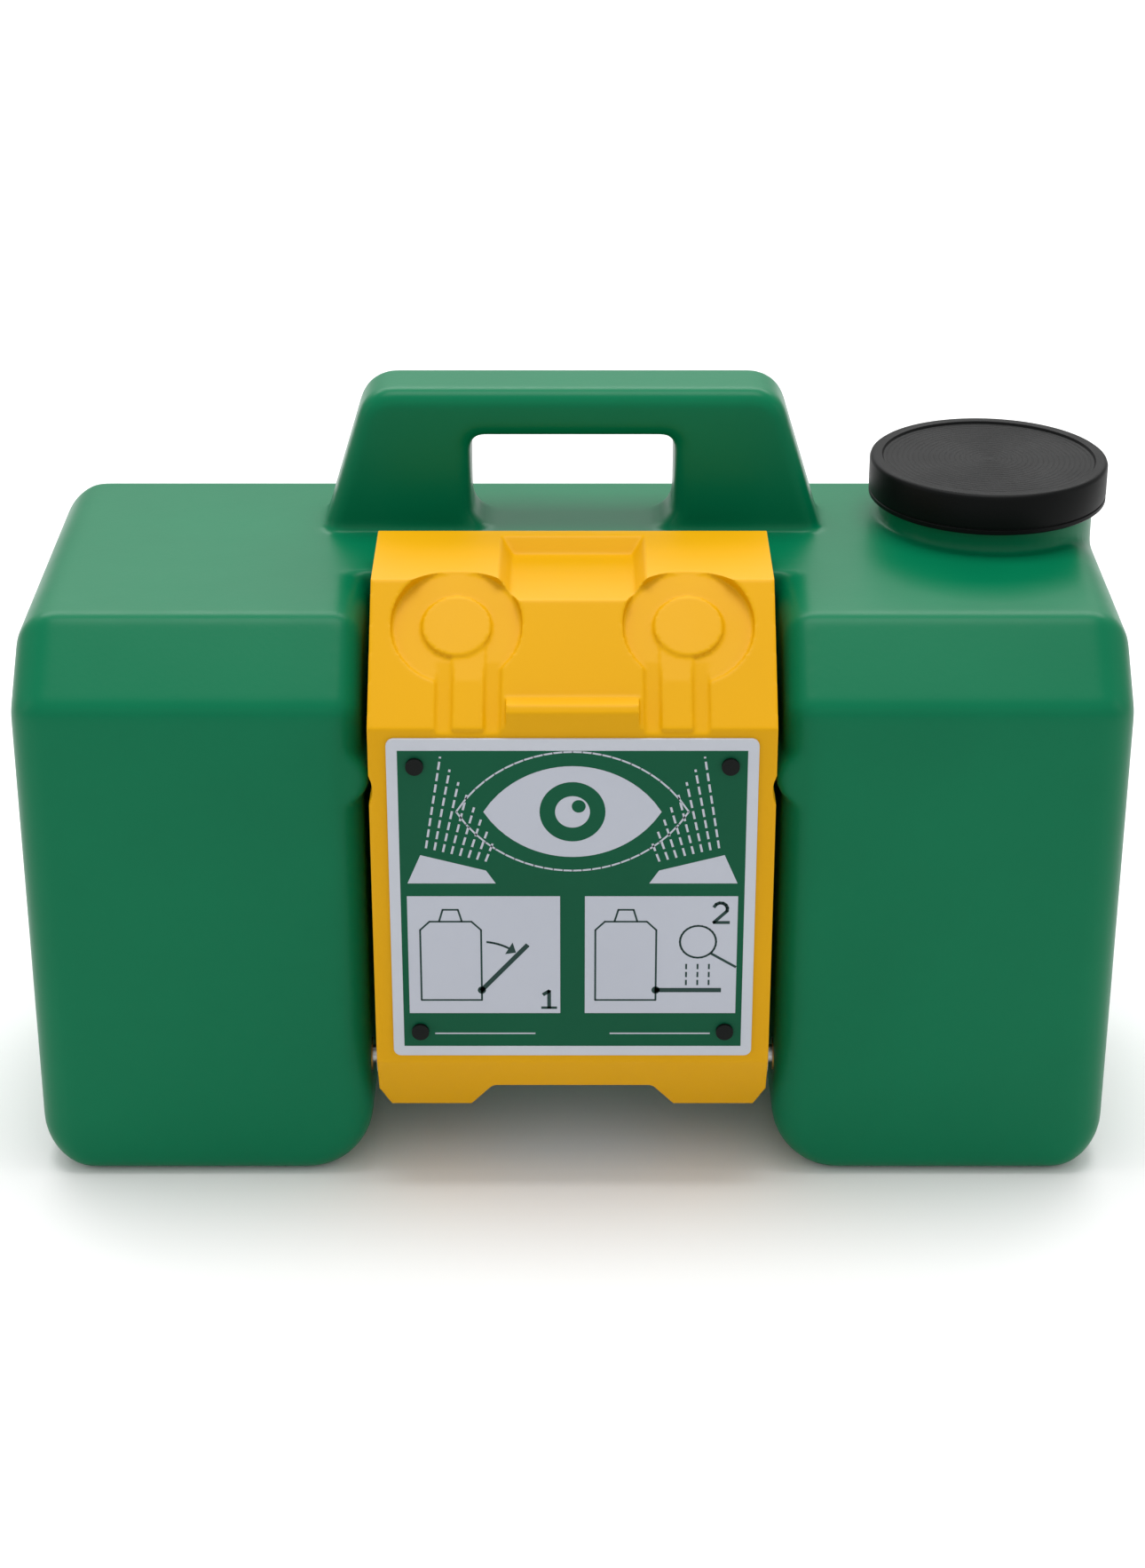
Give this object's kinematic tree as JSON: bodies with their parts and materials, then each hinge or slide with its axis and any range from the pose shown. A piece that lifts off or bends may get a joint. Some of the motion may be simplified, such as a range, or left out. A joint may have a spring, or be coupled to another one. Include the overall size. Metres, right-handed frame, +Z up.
{
  "type": "eyewash station",
  "caption": "Portable gravity-fed eyewash station: a green water tank with a carry handle, a black screw cap and a yellow pull-down arm that holds the spray heads.",
  "frame": {"origin": "on the floor under the middle of the tank's and arm's outline, seen from above", "axes": "+X along the tank's length towards the filler cap, +Z up, -Y out of the front, where the arm is"},
  "size_m": [0.59, 0.2716, 0.396],
  "materials": {
    "green_polyethylene": "satin",
    "yellow_plastic": "satin",
    "black_plastic": "satin",
    "white_plastic": "gloss",
    "pipe_plastic": "satin",
    "stainless_steel": "brushed",
    "brass": "satin",
    "black_rubber": "matte",
    "printed_sign": "satin",
    "acetal": "satin"
  },
  "bodies": {
    "tank": {"tank_shell": "green_polyethylene", "outlet_fitting": "pipe_plastic", "outlet_gasket": "black_rubber", "outlet_nut": "pipe_plastic", "outlet_strainer": "pipe_plastic", "swivel_core": "acetal", "swivel_seals": "black_rubber", "pivot_insert_left": "brass", "pivot_bolt_left": "stainless_steel", "pivot_insert_right": "brass", "pivot_bolt_right": "stainless_steel"},
    "arm": {"arm_shell": "yellow_plastic", "arm_cover": "yellow_plastic", "cover_screws": "stainless_steel", "sign_plate": "printed_sign", "sign_rivets": "black_plastic", "pivot_bush_left": "acetal", "swivel_collar_left": "pipe_plastic", "supply_tube_left": "pipe_plastic", "nozzle_body_left": "white_plastic", "nozzle_screen_left": "stainless_steel", "spray_disc_left": "white_plastic", "nozzle_ring_left": "white_plastic", "pivot_bush_right": "acetal", "swivel_collar_right": "pipe_plastic", "supply_tube_right": "pipe_plastic", "nozzle_body_right": "white_plastic", "nozzle_screen_right": "stainless_steel", "spray_disc_right": "white_plastic", "nozzle_ring_right": "white_plastic"},
    "cap_liner": {"cap_gasket": "black_rubber"},
    "cap": {"fill_cap": "black_plastic"}
  },
  "joints": [
    {"name": "arm_pull_down", "type": "hinge", "parent": "tank", "child": "arm", "pos_m": [0, -0.0945, 0.062], "axis": [1, 0, 0], "range_deg": [0, 90]},
    {"name": "cap_lift", "type": "slide", "parent": "tank", "child": "cap_liner", "axis": [0, 0, 1], "range_m": [0, 0.015]},
    {"name": "cap_turn", "type": "hinge", "parent": "cap_liner", "child": "cap", "pos_m": [0.232, 0.0695, 0.33], "axis": [0, 0, 1], "range_deg": [0, 675]}
  ],
  "couplings": [
    {"joint": "cap_lift", "follows": "cap_turn", "m_per_rad": 0.0012732}
  ]
}
